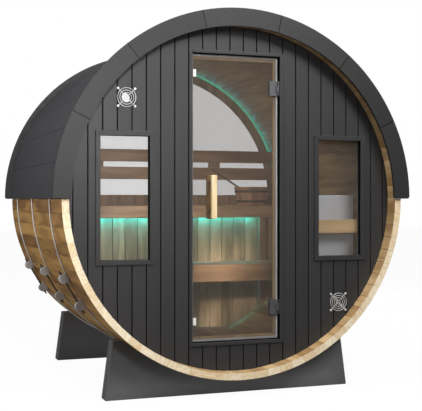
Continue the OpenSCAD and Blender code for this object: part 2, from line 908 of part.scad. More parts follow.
module bench_bearers() color("tan") {
  x0 = post_x - bearer_w / 2;
  x1 = post_x + bearer_w / 2;
  high = -upper_drop - bench_t - seat_gap;
  low = -lower_drop - bench_t - seat_gap;
  both_sides() {
    block(x0, x1, panel_y + panel_t + seat_gap, rear_in - seat_gap, high - bearer_h, high);
    block(x0, x1, lower_slat_y, post_y - seat_gap, low - bearer_h, low);
  }
}

module bench_front_panel() color("burlywood") {
  count = 2 * ceil(r_fit / panel_pitch);
  left = -count * panel_pitch / 2;
  for (i = [0:count - 1]) inside_barrel() block(
    left + i * panel_pitch + panel_gap / 2, left + (i + 1) * panel_pitch - panel_gap / 2,
    panel_y, panel_y + panel_t, -r_out, -upper_drop - bench_t - seat_gap);
}

module backrest_boards() color("burlywood") {
  for (z = [rest_z, rest_z + rest_h + rest_gap]) inside_barrel()
    block(-r_out, r_out, front_y + rest_front, front_y + rest_front + bench_t, z, z + rest_h);
}

module backrest_cleats() color("tan") {
  y0 = front_y + rest_front + bench_t;
  both_sides() block(
    cleat_x - cleat_w / 2, cleat_x + cleat_w / 2, y0, y0 + bench_t, rest_z, rest_z + 2 * rest_h + rest_gap);
}

module light_strips() color("aquamarine") {
  reach = post_x - post_w;
  intersection() {
    on_axis(rear_in - strip_t, rear_in) difference() {
      circle(r = r_fit - work_gap, $fn = round_steps);
      circle(r = r_fit - work_gap - strip_w, $fn = round_steps);
    }
    block(-r_out, r_out, rear_in - overrun, rear_out, moon_sill, r_out);
  }
  high = -upper_drop - bench_t - seat_gap;
  block(-reach, reach, post_y, post_y + strip_w, high - strip_t, high);
}

module heater_plan(w, d, z0, z1) {
  translate([heater_x, heater_y + heater_depth / 2, axis_z + z0]) linear_extrude(z1 - z0)
    round_rect(w, d, heater_r);
}

module heater_housing() color("lightslategray") {
  heater_plan(heater_w, heater_depth, heater_foot, heater_top);
}

module heater_stones() color("dimgray") {
  heater_plan(stone_w, stone_depth, heater_top, heater_top + stone_h);
}

module heater_stand() color("tan") {
  w = heater_w * stand_share / 2;
  for (y = [heater_y + heater_r, heater_y + heater_depth - heater_r - stand_t])
    inside_barrel() block(heater_x - w, heater_x + w, y, y + stand_t, -r_out, heater_foot - seat_gap);
}

module heater_guard_rail() color("burlywood") {
  y0 = wall_back + rail_block_t;
  left = win_x - rail_len / 2;
  right = win_x + rail_len / 2;
  block(left, right, y0, y0 + rail_t, -rail_drop - rail_h, -rail_drop);
  block(left, left + rail_block_w, wall_back, y0 + work_gap, -rail_drop - rail_h, -rail_drop);
  block(right - rail_block_w, right, wall_back, y0 + work_gap, -rail_drop - rail_h, -rail_drop);
}

module bucket() color("burlywood") {
  translate([bucket_x, front_y + bucket_y, bucket_z]) rotate_extrude() polygon([
    [0, 0],
    [bucket_foot_r, 0],
    [bucket_rim_r, bucket_h],
    [bucket_rim_r - bucket_wall, bucket_h],
    [bucket_foot_r - bucket_wall, bucket_base],
    [0, bucket_base]
  ]);
}

module ladle() color("sienna") {
  drop = (cup_x - cup_r + cup_wall - ladle_x) / cos(ladle_deg);
  translate([ladle_x, front_y + bucket_y, ladle_z]) rotate([0, right_angle + ladle_deg, 0])
    translate([0, 0, drop - ladle_len]) cylinder(d = ladle_d, h = ladle_len);
  translate([cup_x, front_y + bucket_y, cup_z]) difference() {
    cylinder(r = cup_r, h = cup_h);
    translate([0, 0, cup_wall]) cylinder(r = cup_r - cup_wall, h = cup_h);
  }
}

front_cradle();
back_cradle();
upper_staves();
lower_staves();
hoops();
hoop_lugs();
tension_rods();
roof_sheets();
front_roof_trim();
back_roof_trim();
front_wall_left();
front_wall_right();
front_wall_over_door();
front_wall_under_door();
door_frame();
door_seal();
door_glass();
door_hinge_leaves();
door_hinge_clamps();
door_handle_outside();
door_handle_inside();
door_catches();
left_window_frame();
left_window_pane();
right_window_frame();
right_window_pane();
upper_vent_guard();
lower_vent_guard();
back_wall_boards();
back_window_frame();
back_window_glass();
floor_boards();
floor_joists();
upper_bench();
lower_bench();
bench_posts();
bench_bearers();
bench_front_panel();
backrest_boards();
backrest_cleats();
light_strips();
heater_housing();
heater_stones();
heater_stand();
heater_guard_rail();
bucket();
ladle();
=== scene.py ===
"""Looks of a barrel sauna: timber staves on two dark cradles, a felt half roof, a painted front
wall with a bronze glass door, and a lit cabin behind it. Lengths are in metres."""
import math
import random

import bpy
from mathutils import Matrix, Vector


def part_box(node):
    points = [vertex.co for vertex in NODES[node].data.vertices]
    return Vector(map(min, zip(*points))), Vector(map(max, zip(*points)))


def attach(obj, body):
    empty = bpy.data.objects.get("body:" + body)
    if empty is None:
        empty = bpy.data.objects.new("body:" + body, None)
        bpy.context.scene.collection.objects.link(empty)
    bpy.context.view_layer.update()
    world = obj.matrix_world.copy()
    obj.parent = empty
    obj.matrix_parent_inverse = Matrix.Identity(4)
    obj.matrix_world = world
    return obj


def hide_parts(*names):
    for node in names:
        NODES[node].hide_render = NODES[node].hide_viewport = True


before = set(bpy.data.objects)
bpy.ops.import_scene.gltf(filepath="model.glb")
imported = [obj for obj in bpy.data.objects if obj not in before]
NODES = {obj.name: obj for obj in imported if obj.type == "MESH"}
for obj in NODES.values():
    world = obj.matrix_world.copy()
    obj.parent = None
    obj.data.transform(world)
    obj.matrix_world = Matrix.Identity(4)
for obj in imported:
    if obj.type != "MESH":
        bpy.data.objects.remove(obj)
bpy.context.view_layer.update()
X, Y, Z = 0, 1, 2

# Places read from the frame
HOOP_LOW, HOOP_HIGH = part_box("hoops")
AXIS_Z = (HOOP_LOW[Z] + HOOP_HIGH[Z]) / 2
STAVE_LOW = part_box("lower_staves")[0]
STAVE_R = AXIS_Z - STAVE_LOW[Z]
FRONT_Y = STAVE_LOW[Y]
WALL_FACE, WALL_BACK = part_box("front_wall_left")[0][Y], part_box("front_wall_left")[1][Y]
REAR_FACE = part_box("back_wall_boards")[1][Y]
DOOR_LOW, DOOR_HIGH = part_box("door_frame")
SEAL_LOW, SEAL_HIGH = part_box("door_seal")
GLASS_LOW, GLASS_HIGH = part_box("door_glass")
TRIM_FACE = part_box("front_roof_trim")[0][Y]

# Sizes of the real pieces
STAVE_COUNT = 80
STAVE_T = 0.042
FRAME_BOARDS = 7
BOARD_PITCH = (DOOR_HIGH[X] - DOOR_LOW[X]) / FRAME_BOARDS
CASING_PITCH = 0.33
TRIM_BOARDS = 7
TRIM_STEP = math.pi / TRIM_BOARDS
SHEET_COUNT = 16
BENCH_PITCH = 0.118
PANEL_PITCH = 0.094
FLOOR_PITCH = 0.128
REST_PITCH = 0.137
REST_START = AXIS_Z + 0.14
BUCKET_PITCH = 0.05
ONE_BOARD = 0.5  # wider than any piece that is cut from a single board

# Depth behind the front of a casing and of the door frame where the painted shade of its recesses
# starts, and how far a finish reaches round an edge
CASING_STEP = 0.010
DOOR_STEP = 0.006
SKIN = 0.003

# Edges that are sharper than this are eased
SHARP = math.radians(35)

# Gloss, roughness and depth of relief of satin paint and bare wood
PAINT_SHINE = 0.34
PAINT_ROUGH = 0.37
PAINT_RELIEF = 0.0005
WOOD_ROUGH = 0.36
STAVE_ROUGH = 0.52
WOOD_RELIEF = 0.0006

# Depths behind the face at which the painted shade in the joints and recesses of the wall starts
# and ends, and widths of the painted shade at the joints of the trim
RECESS_SHADE_FADE = (0.0004, 0.0030)
TRIM_SHADE_FADE = (0.0030, 0.0012)

# Small lamps round the back window: how many, where they start and how far they go, in degrees
ARC_LAMPS = 40
ARC_START = 8
ARC_SPAN = 164

# Shares of plain white in the floor, and of the white surroundings in a glossy surface
FLOOR_WHITE = 0.965
GLOSS_WHITE = 0.12

# Colours, as linear red, green and blue
PAINT = (0.0245, 0.0236, 0.0240)
PAINT_PALE = (0.0345, 0.0333, 0.0338)
# Cradle paint, several times paler than the wall paint: painted light for cradles that stand in the
# barrel's shade
CRADLE_PAINTED_LIGHT = (0.094, 0.093, 0.095)
CRADLE_PAINTED_LIGHT_PALE = (0.128, 0.126, 0.129)
# Painted shade: the black of joints and recesses
PAINTED_SHADE = (0.006, 0.006, 0.006)
FELT = (0.016, 0.016, 0.019)
FELT_PALE = (0.030, 0.030, 0.035)
STAVE_DARK = (0.200, 0.092, 0.022)
STAVE_PALE = (0.560, 0.320, 0.095)
INNER_DARK = (0.360, 0.210, 0.085)
INNER_PALE = (0.700, 0.490, 0.250)
END_DARK = (0.720, 0.520, 0.275)
END_PALE = (0.940, 0.830, 0.630)
CABIN_DARK = (0.170, 0.100, 0.058)
CABIN_PALE = (0.380, 0.245, 0.150)
BENCH_DARK = (0.250, 0.150, 0.085)
BENCH_PALE = (0.520, 0.345, 0.210)
PANEL_DARK = (0.210, 0.155, 0.085)
PANEL_PALE = (0.530, 0.400, 0.240)
BRIGHT_DARK = (0.670, 0.490, 0.260)
BRIGHT_PALE = (0.880, 0.750, 0.510)
RAIL_DARK = (0.600, 0.370, 0.160)
RAIL_PALE = (0.820, 0.560, 0.290)
STOP_DARK = (0.520, 0.330, 0.160)
STOP_PALE = (0.780, 0.560, 0.320)
# Inner handle wood: a darker copy of the handle wood, painted shade behind the glass
SHADED_GRIP_DARK = (0.450, 0.230, 0.050)
SHADED_GRIP_PALE = (0.720, 0.430, 0.120)
BUCKET_DARK = (0.260, 0.125, 0.065)
BUCKET_PALE = (0.520, 0.300, 0.175)
LADLE_DARK = (0.050, 0.025, 0.014)
LADLE_PALE = (0.130, 0.070, 0.038)
STONE_DARK = (0.03, 0.03, 0.03)
STONE_PALE = (0.20, 0.19, 0.18)
KNOT = (0.080, 0.035, 0.014)
BRONZE = (0.105, 0.084, 0.070)
SMOKE = (0.120, 0.115, 0.112)
GLASS_EDGE = (0.20, 0.28, 0.26)
STRIP_GREEN = (0.050, 0.780, 0.560)
ARC_GREEN = (0.012, 0.120, 0.080)
WARM = (1.0, 0.89, 0.74)
LAMP_GREEN = (0.004, 0.580, 0.860)
WHITE = (1.0, 1.0, 1.0)
SKY = (0.08, 0.08, 0.084)


class Value:
    """A number or colour that changes over a surface."""

    def __init__(self, sheet, socket):
        self.sheet = sheet
        self.socket = socket

    def maths(self, operation, *terms, clamp=False):
        settings = {"operation": operation, "use_clamp": clamp}
        return self.sheet.node("ShaderNodeMath", settings, dict(enumerate(terms)))

    def __add__(self, other):
        return self.maths("ADD", self, other)

    def __sub__(self, other):
        return self.maths("SUBTRACT", self, other)

    def __rsub__(self, other):
        return self.maths("SUBTRACT", other, self)

    def __mul__(self, other):
        return self.maths("MULTIPLY", self, other)

    def __truediv__(self, other):
        return self.maths("DIVIDE", self, other)

    def __gt__(self, other):
        return self.maths("GREATER_THAN", self, other)

    def __lt__(self, other):
        return self.maths("LESS_THAN", self, other)

    def __pow__(self, other):
        return self.maths("POWER", self, other)

    def __abs__(self):
        return self.maths("ABSOLUTE", self)

    __radd__ = __add__
    __rmul__ = __mul__

    def floor(self):
        return self.maths("FLOOR", self)

    def clip(self):
        return self.maths("ADD", self, 0.0, clamp=True)

    def waves(self):
        return self.maths("PINGPONG", self, 1.0)

    def most(self, other):
        return self.maths("MAXIMUM", self, other)

    def fade(self, start, stop):
        """0 at start, 1 at stop, smooth between."""
        settings = {"interpolation_type": "SMOOTHSTEP"}
        inputs = {0: self, 1: start, 2: stop, 3: 0.0, 4: 1.0}
        return self.sheet.node("ShaderNodeMapRange", settings, inputs)


class Sheet:
    """A node tree, with every node made by the node method."""

    def __init__(self, tree):
        self.tree = tree

    def feed(self, socket, value):
        if isinstance(value, Value):
            self.tree.links.new(value.socket, socket)
        elif isinstance(value, tuple) and socket.type == "RGBA":
            socket.default_value = (*value, 1.0)
        else:
            socket.default_value = value

    def node(self, kind, settings, inputs, output=0):
        made = self.tree.nodes.new(kind)
        for name, value in settings.items():
            setattr(made, name, value)
        for key, value in inputs.items():
            self.feed(made.inputs[key], value)
        return Value(self, made.outputs[output]) if made.outputs else None


class Finish(Sheet):
    """One material."""

    def __init__(self, name, sockets):
        self.material = bpy.data.materials.new(name)
        self.material.use_nodes = True
        super().__init__(self.material.node_tree)
        self.shader = self.tree.nodes["Principled BSDF"]
        self.set(sockets)

    def set(self, sockets):
        for name, value in sockets.items():
            self.feed(self.shader.inputs[name], value)

    def parts(self, kind):
        """X, Y and Z of one of the coordinates of the object."""
        whole = self.node("ShaderNodeTexCoord", {}, {}, kind)
        return [self.node("ShaderNodeSeparateXYZ", {}, {0: whole}, axis) for axis in "XYZ"]

    def place(self):
        """Place on the object, in metres."""
        return self.parts("Object")

    def facing(self):
        """Way the surface faces on the object, which a turned door keeps."""
        return self.parts("Normal")

    def vector(self, x, y, z):
        return self.node("ShaderNodeCombineXYZ", {}, {0: x, 1: y, 2: z})

    def noise(self, x, y, z, detail):
        spot = self.vector(x, y, z)
        inputs = {"Vector": spot, "Scale": 1.0, "Detail": detail, "Roughness": 0.55}
        return self.node("ShaderNodeTexNoise", {}, inputs)

    def cells(self, x, y, z):
        return self.node("ShaderNodeTexVoronoi", {}, {"Vector": self.vector(x, y, z), "Scale": 1.0})

    def lot(self, number):
        """One chance value for each whole number."""
        return self.node("ShaderNodeTexWhiteNoise", {"noise_dimensions": "1D"}, {"W": number})

    def mix(self, share, first, second):
        return self.node("ShaderNodeMix", {"data_type": "RGBA"}, {0: share, 6: first, 7: second}, 2)

    def bump(self, height, distance):
        inputs = {"Height": height, "Distance": distance}
        self.set({"Normal": self.node("ShaderNodeBump", {}, inputs)})


def wood_figure(finish, along, a, b, lot):
    """Growth rings, fine streaks and knots of planed softwood that runs along one way."""
    run = along + lot * 9.0
    rise = finish.noise(run * 0.9, a * 6.0 + lot * 5.0, b * 6.0, 2.0)
    rings = (rise * 9.0).waves()
    streaks = finish.noise(run * 4.0, a * 170.0, b * 170.0, 3.0)
    pores = finish.noise(run * 20.0, a * 700.0, b * 700.0, 1.0)
    knots = finish.cells(run * 1.6, a * 7.0 + lot * 3.0, b * 7.0).fade(0.085, 0.045)
    return rings * 0.42 + streaks * 0.42 + pores * 0.16, knots


def board_wood(finish, spot, grain, boards, pitch, origin, dark, pale):
    """Colour and relief of bare boards side by side on one axis, with the grain along another."""
    lot = finish.lot(((spot[boards] - origin) / pitch).floor())
    a, b = (spot[axis] for axis in range(3) if axis != grain)
    tone, knots = wood_figure(finish, spot[grain], a, b, lot)
    share = (tone * 1.5 - 0.35 + (lot - 0.5) * 0.6).clip()
    colour = finish.mix(share, dark, pale)
    return finish.mix(knots * 0.75, colour, KNOT), tone


def board_paint(finish, spot, grain, boards, pitch, origin, dark, pale):
    """Colour and relief of satin dark paint on planed boards, with the grain showing a little."""
    lot = finish.lot(((spot[boards] - origin) / pitch).floor())
    a, b = (spot[axis] for axis in range(3) if axis != grain)
    brush = finish.noise(spot[grain] * 2.5 + lot * 6.0, a * 120.0, b * 120.0, 3.0)
    pores = finish.noise(spot[grain] * 14.0, a * 520.0, b * 520.0, 1.0)
    cloud = finish.noise(spot[X] * 1.7, spot[Y] * 1.7, spot[Z] * 1.7, 2.0)
    share = (brush * 0.35 + cloud * 0.4 + lot * 0.35 - 0.05).clip()
    return finish.mix(share, dark, pale), brush * 0.7 + pores * 0.3


def timber(name, grain, boards, pitch, origin, dark, pale):
    """Bare planed boards."""
    finish = Finish(name, {})
    colour, tone = board_wood(finish, finish.place(), grain, boards, pitch, origin, dark, pale)
    finish.set({"Base Color": colour, "Roughness": tone * 0.2 + WOOD_ROUGH})
    finish.bump(tone, WOOD_RELIEF)
    return finish


def paint(name, grain, boards, pitch, origin, dark=PAINT, pale=PAINT_PALE, face=None, bare=None,
          bare_dark=CABIN_DARK, bare_pale=CABIN_PALE):
    """Painted boards. On a wall, joints and recesses behind the face get painted shade, black and
    without gloss, and a test picks bare wood.
    """
    finish = Finish(name, {"Specular IOR Level": PAINT_SHINE})
    spot = finish.place()
    colour, tone = board_paint(finish, spot, grain, boards, pitch, origin, dark, pale)
    rough = tone * 0.10 + PAINT_ROUGH
    if face is not None:
        way = 1 if face < 0 else -1
        # Painted shade: whatever lies a few millimetres behind the face turns black
        recess_shade = ((spot[Y] - face) * way).fade(*RECESS_SHADE_FADE)
        wood, figure = board_wood(finish, spot, grain, boards, pitch, origin, bare_dark, bare_pale)
        share = bare(spot)
        colour = finish.mix(share, finish.mix(recess_shade, colour, PAINTED_SHADE), wood)
        tone = tone + (figure - tone) * share
        rough = rough + recess_shade * 0.5 - share * 0.4
        # Metallic here only takes the gloss off the painted shade
        finish.set({"Metallic": (recess_shade - share).clip()})
    finish.set({"Base Color": colour, "Roughness": rough})
    finish.bump(tone, PAINT_RELIEF)
    return finish


def trim_paint(name):
    """Painted trim boards round the arch, with their grain along the arch, and painted shade at the
    joints.
    """
    finish = Finish(name, {"Specular IOR Level": PAINT_SHINE * 0.6})
    x, _, z = finish.place()
    up = z - AXIS_Z
    angle = up.maths("ARCTAN2", up, x)
    radius = (x * x + up * up) ** 0.5
    board = angle / TRIM_STEP
    joint = abs(board - (board + 0.5).floor()) * radius * TRIM_STEP
    spot = (angle * STAVE_R, board, radius)
    colour, tone = board_paint(finish, spot, X, Y, 1.0, 0.0, PAINT, PAINT_PALE)
    # Painted shade at the joints between the trim boards, black and without gloss
    joint_shade = joint.fade(*TRIM_SHADE_FADE)
    colour = finish.mix(joint_shade, colour, PAINTED_SHADE)
    finish.set({"Base Color": colour, "Roughness": tone * 0.10 + PAINT_ROUGH, "Metallic": joint_shade})
    finish.bump(tone, PAINT_RELIEF)
    return finish


def bare_back(spot):
    """Inside faces of the front wall and its frames."""
    return spot[Y] > WALL_BACK - SKIN


def bare_stops(spot):
    """Stops round the door opening, behind the glass, and the inside face of the door frame."""
    behind = spot[Y] > GLASS_HIGH[Y]
    side = spot[X] < SEAL_HIGH[X] - SKIN
    other_side = spot[X] > SEAL_LOW[X] + SKIN
    height = (spot[Z] < SEAL_HIGH[Z] - SKIN) * (spot[Z] > SEAL_LOW[Z] + SKIN)
    return (behind * side * other_side * height).most(bare_back(spot))


def bare_front(spot):
    """Inside faces of the back wall and its frame."""
    return spot[Y] < REAR_FACE - 2 * SKIN


def stave_timber(name):
    """Oiled staves: brown outside, paler inside, with pale sawn ends."""
    finish = Finish(name, {})
    x, y, z = finish.place()
    up = z - AXIS_Z
    angle = up.maths("ARCTAN2", up, x)
    step = 2 * math.pi / STAVE_COUNT
    lot = finish.lot((angle / step).floor())
    radius = (x * x + up * up) ** 0.5
    tone, knots = wood_figure(finish, y, angle * STAVE_R, radius, lot)
    share = (tone * 1.4 - 0.3 + (lot - 0.5) * 0.65).clip()
    outer = finish.mix(share, STAVE_DARK, STAVE_PALE)
    inner = finish.mix(share, INNER_DARK, INNER_PALE)
    inside = radius.fade(STAVE_R - STAVE_T * 0.4, STAVE_R - STAVE_T * 0.6)
    flank = finish.mix(knots * 0.85, finish.mix(inside, outer, inner), KNOT)
    rings = (finish.noise(x * 5.0 + lot * 9.0, up * 5.0, lot * 7.0, 1.0) * 34.0).waves()
    grit = finish.noise(x * 260.0, up * 260.0, 0.0, 2.0)
    cut = finish.mix((rings * 0.45 + grit * 0.30 + lot * 0.55 - 0.12).clip(), END_DARK, END_PALE)
    sawn = abs(finish.facing()[Y]).fade(0.7, 0.95)
    finish.set({"Base Color": finish.mix(sawn, flank, cut), "Roughness": tone * 0.2 + STAVE_ROUGH})
    finish.bump(tone + (grit - tone) * sawn, WOOD_RELIEF)
    return finish


def felt(name):
    """Mineral roofing felt: dark, matt and grainy, each strip a little different."""
    finish = Finish(name, {})
    x, y, z = finish.place()
    up = z - AXIS_Z
    angle = up.maths("ARCTAN2", up, x)
    lot = finish.lot((angle / (math.pi / SHEET_COUNT)).floor())
    grains = finish.cells(x * 420.0, y * 420.0, z * 420.0)
    cloud = finish.noise(x * 3.0, y * 3.0, z * 3.0, 4.0)
    share = (grains * 0.5 + cloud * 0.5 + lot * 0.3 - 0.2).clip()
    finish.set({"Base Color": finish.mix(share, FELT, FELT_PALE), "Roughness": grains * 0.2 + 0.55})
    finish.bump(grains, 0.0012)
    return finish


def metal(name, dark, pale, rough, full):
    """Plain or brushed metal with faint streaks and handling marks."""
    finish = Finish(name, {"Metallic": full})
    x, y, z = finish.place()
    brushed = finish.noise(x * 90.0, y * 90.0, z * 6.0, 3.0)
    marks = finish.noise(x * 12.0, y * 12.0, z * 12.0, 4.0)
    colour = finish.mix((brushed * 0.5 + marks * 0.5).clip(), dark, pale)
    finish.set({"Base Color": colour, "Roughness": brushed * 0.18 + (rough - 0.09)})
    finish.bump(brushed, 0.0001)
    return finish


def plastic(name, dark, pale, rough):
    """Moulded plastic or rubber with a fine matt texture."""
    finish = Finish(name, {})
    x, y, z = finish.place()
    grit = finish.noise(x * 900.0, y * 900.0, z * 900.0, 2.0)
    cloud = finish.noise(x * 9.0, y * 9.0, z * 9.0, 2.0)
    colour = finish.mix((grit * 0.4 + cloud * 0.6).clip(), dark, pale)
    finish.set({"Base Color": colour, "Roughness": grit * 0.15 + rough})
    finish.bump(grit, 0.0001)
    return finish


def pane(name, tint, body, edge):
    """Tinted sheet glass, denser where it is seen edge on."""
    finish = Finish(name, {"Roughness": 0.03, "IOR": 1.5})
    x, y, z = finish.place()
    smear = finish.noise(x * 5.0, y * 5.0, z * 2.0, 3.0)
    grazing = finish.node("ShaderNodeLayerWeight", {}, {"Blend": 0.2}, "Fresnel")
    rim = abs(finish.facing()[Y]).fade(0.6, 0.2)
    finish.set({"Base Color": finish.mix(rim, tint, edge)})
    finish.set({"Alpha": (grazing * 0.3 + smear * 0.03 + rim * 0.6 + body).clip()})
    return finish


def glow(name):
    """Lit strips under a clear cover: bright under the bench, soft round the window."""
    finish = Finish(name, {"Roughness": 0.3, "Emission Strength": 14.0})
    x, y, z = finish.place()
    lamps = finish.noise(x * 60.0, y * 60.0, z * 60.0, 1.0).fade(0.3, 0.7)
    hot_green = tuple(0.8 * part + 0.2 for part in STRIP_GREEN)
    dim_arc, hot_arc = (tuple(part * level for part in ARC_GREEN) for level in (0.25, 0.4))
    under_bench = finish.mix(lamps, STRIP_GREEN, hot_green)
    lit = finish.mix(z > AXIS_Z, under_bench, finish.mix(lamps, dim_arc, hot_arc))
    finish.set({"Base Color": lit, "Emission Color": lit})
    return finish


def rock(name):
    """Split dark stone with pale flecks."""
    finish = Finish(name, {})
    x, y, z = finish.place()
    coarse = finish.noise(x * 40.0, y * 40.0, z * 40.0, 5.0)
    fleck = finish.cells(x * 240.0, y * 240.0, z * 240.0)
    share = (coarse * 0.8 + fleck * 0.3).clip()
    finish.set({"Base Color": finish.mix(share, STONE_DARK, STONE_PALE)})
    finish.set({"Roughness": coarse * 0.2 + 0.7})
    finish.bump(coarse, 0.004)
    return finish


FINISH = {
    "staves": stave_timber("oiled staves"),
    "wall_paint": paint(
        "painted wall boards", Z, X, BOARD_PITCH, DOOR_HIGH[X], face=WALL_FACE, bare=bare_back),
    "frame_paint": paint(
        "painted casings", Z, X, CASING_PITCH, 0.0, face=DOOR_LOW[Y] + CASING_STEP, bare=bare_back),
    "door_paint": paint(
        "painted door frame", Z, X, CASING_PITCH, 0.0, face=DOOR_LOW[Y] + DOOR_STEP,
        bare=bare_stops, bare_dark=STOP_DARK, bare_pale=STOP_PALE),
    "rear_paint": paint(
        "painted back wall", Z, X, BOARD_PITCH, 0.0, face=REAR_FACE, bare=bare_front),
    "trim_paint": trim_paint("painted trim"),
    # Painted light: the cradles get a paler copy of the dark paint
    "cradle_paint": paint("cradle paint lightened as painted light", X, Y, ONE_BOARD, 0.0, CRADLE_PAINTED_LIGHT, CRADLE_PAINTED_LIGHT_PALE),
    "felt": felt("roofing felt"),
    "zinc": metal("bright zinc", (0.66, 0.66, 0.66), (0.90, 0.90, 0.90), 0.36, full=0.3),
    "lug": metal("satin steel", (0.46, 0.46, 0.47), (0.72, 0.72, 0.73), 0.42, full=0.3),
    "black_steel": metal(
        "black steel", (0.030, 0.030, 0.032), (0.075, 0.075, 0.080), 0.42, full=0.6),
    "screw": metal(
        "blackened screws", (0.006, 0.006, 0.006), (0.020, 0.020, 0.020), 0.60, full=0.3),
    "grey_steel": metal(
        "grey hinge steel", (0.060, 0.060, 0.064), (0.105, 0.105, 0.112), 0.50, full=0.4),
    "chrome": metal("bright wire", (0.62, 0.62, 0.62), (0.84, 0.84, 0.84), 0.38, full=0.35),
    "stainless": metal(
        "brushed stainless", (0.62, 0.62, 0.63), (0.88, 0.88, 0.90), 0.50, full=0.4),
    "seal": plastic("pale seal", (0.70, 0.71, 0.72), (0.86, 0.87, 0.88), 0.45),
    "white": plastic("white catch", (0.72, 0.72, 0.70), (0.86, 0.86, 0.84), 0.35),
    "bronze_glass": pane("bronze glass", BRONZE, 0.31, (0.62, 0.66, 0.66)),
    "smoked_glass": pane("smoked glass", SMOKE, 0.16, GLASS_EDGE),
    "clear_glass": pane("clear glass", SMOKE, 0.03, GLASS_EDGE),
    "cabin_wood": timber("cabin boards", Z, X, BOARD_PITCH, 0.0, CABIN_DARK, CABIN_PALE),
    "floor_wood": timber(
        "floor boards", Y, X, FLOOR_PITCH, -FLOOR_PITCH / 2, CABIN_DARK, CABIN_PALE),
    "bench_wood": timber("bench boards", X, Y, BENCH_PITCH, 0.0, BENCH_DARK, BENCH_PALE),
    "rest_wood": timber("backrest boards", X, Z, REST_PITCH, REST_START, CABIN_DARK, CABIN_PALE),
    "panel_wood": timber("bench front boards", Z, X, PANEL_PITCH, 0.0, PANEL_DARK, PANEL_PALE),
    "rail_wood": timber("guard rail wood", X, Z, ONE_BOARD, 0.0, RAIL_DARK, RAIL_PALE),
    "handle_wood": timber("handle wood", Z, Y, ONE_BOARD, 0.0, BRIGHT_DARK, BRIGHT_PALE),
    "shaded_grip_wood": timber("inner handle wood darkened as painted shade", Z, Y, ONE_BOARD, 0.0, SHADED_GRIP_DARK, SHADED_GRIP_PALE),
    "ladle_wood": timber("ladle wood", X, Y, ONE_BOARD, 0.0, LADLE_DARK, LADLE_PALE),
    "bucket_wood": timber("bucket staves", Z, X, BUCKET_PITCH, 0.0, BUCKET_DARK, BUCKET_PALE),
    "glow": glow("lit strips"),
    "rock": rock("heater stones"),
}


def select_only(piece):
    """Selects one piece and makes it the active one."""
    bpy.ops.object.select_all(action="DESELECT")
    piece.select_set(True)
    bpy.context.view_layer.objects.active = piece


def coat(piece, finish):
    """Puts one finish in every material slot of a piece."""
    if not piece.material_slots:
        piece.data.materials.append(None)
    for slot in piece.material_slots:
        slot.material = FINISH[finish].material


def settle(piece, name, finish, body="cabin", node=None):
    """Gives a finished piece its name, finish and body, and the CAD node that it stands for."""
    piece.name = name
    piece.data.name = name
    coat(piece, finish)
    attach(piece, body)
    if node:
        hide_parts(node)


def keep_place(piece):
    """Puts a piece's place, turn and size into its mesh."""
    select_only(piece)
    bpy.ops.object.transform_apply(location=True, rotation=True, scale=True)


def apply_modifier(piece, kind, **settings):
    """Shapes a piece by one modifier, and keeps the result."""
    select_only(piece)
    modifier = piece.modifiers.new("shape", kind)
    for name, value in settings.items():
        setattr(modifier, name, value)
    bpy.ops.object.modifier_apply(modifier=modifier.name)


def ease_edges(piece, width, steps=2):
    """Rounds the sharp edges of a piece, and keeps its flat faces flat beside them."""
    apply_modifier(
        piece, "BEVEL", width=width, segments=steps, limit_method="ANGLE", angle_limit=SHARP)
    bpy.ops.object.shade_smooth_by_angle(angle=SHARP)
    apply_modifier(piece, "WEIGHTED_NORMAL", weight=100, keep_sharp=True)


def eased_copy(node, width, finish, body="cabin"):
    """A CAD piece again, with its edges rounded as a plane or sander leaves them."""
    select_only(NODES[node])
    bpy.ops.object.duplicate()
    piece = bpy.context.view_layer.objects.active
    bpy.ops.object.mode_set(mode="EDIT")
    bpy.ops.mesh.select_all(action="SELECT")
    bpy.ops.mesh.remove_doubles(threshold=0.00002)
    bpy.ops.mesh.dissolve_limited(angle_limit=math.radians(0.3))
    bpy.ops.object.mode_set(mode="OBJECT")
    ease_edges(piece, width)
    settle(piece, node + "_eased", finish, body, node)


def block(low, high, ease, steps=2):
    """A box by two corners, with eased edges."""
    bpy.ops.object.select_all(action="DESELECT")
    bpy.ops.mesh.primitive_cube_add(size=1, location=[(a + b) / 2 for a, b in zip(low, high)])
    piece = bpy.context.object
    piece.scale = [b - a for a, b in zip(low, high)]
    keep_place(piece)
    ease_edges(piece, ease, steps)
    return piece


def rod(start, stop, radius, sides, ease=0.0):
    """A round bar between two points."""
    start, stop = Vector(start), Vector(stop)
    turn = (stop - start).to_track_quat("Z", "Y").to_euler()
    bpy.ops.object.select_all(action="DESELECT")
    bpy.ops.mesh.primitive_cylinder_add(
        vertices=sides, radius=radius, depth=(stop - start).length,
        location=(start + stop) / 2, rotation=turn)
    piece = bpy.context.object
    keep_place(piece)
    if ease:
        ease_edges(piece, ease)
    else:
        bpy.ops.object.shade_smooth_by_angle(angle=SHARP)
    return piece


def ring(middle, radius, wire, steps=72, sides=10):
    """A round wire bent into a ring, flat to the front wall."""
    bpy.ops.object.select_all(action="DESELECT")
    bpy.ops.mesh.primitive_torus_add(
        major_radius=radius, minor_radius=wire, major_segments=steps, minor_segments=sides,
        location=middle, rotation=(math.radians(90), 0, 0))
    piece = bpy.context.object
    keep_place(piece)
    bpy.ops.object.shade_smooth()
    return piece


def open_cone(middle, foot, rim, tall, sides):
    """The side of a tapered tube, without thickness or ends."""
    bpy.ops.object.select_all(action="DESELECT")
    bpy.ops.mesh.primitive_cone_add(
        vertices=sides, radius1=foot, radius2=rim, depth=tall, end_fill_type="NOTHING",
        location=middle)
    piece = bpy.context.object
    keep_place(piece)
    return piece


def joined(pieces):
    """Makes one mesh of several."""
    bpy.ops.object.select_all(action="DESELECT")
    for piece in pieces:
        piece.select_set(True)
    bpy.context.view_layer.objects.active = pieces[0]
    bpy.ops.object.join()
    return bpy.context.view_layer.objects.active


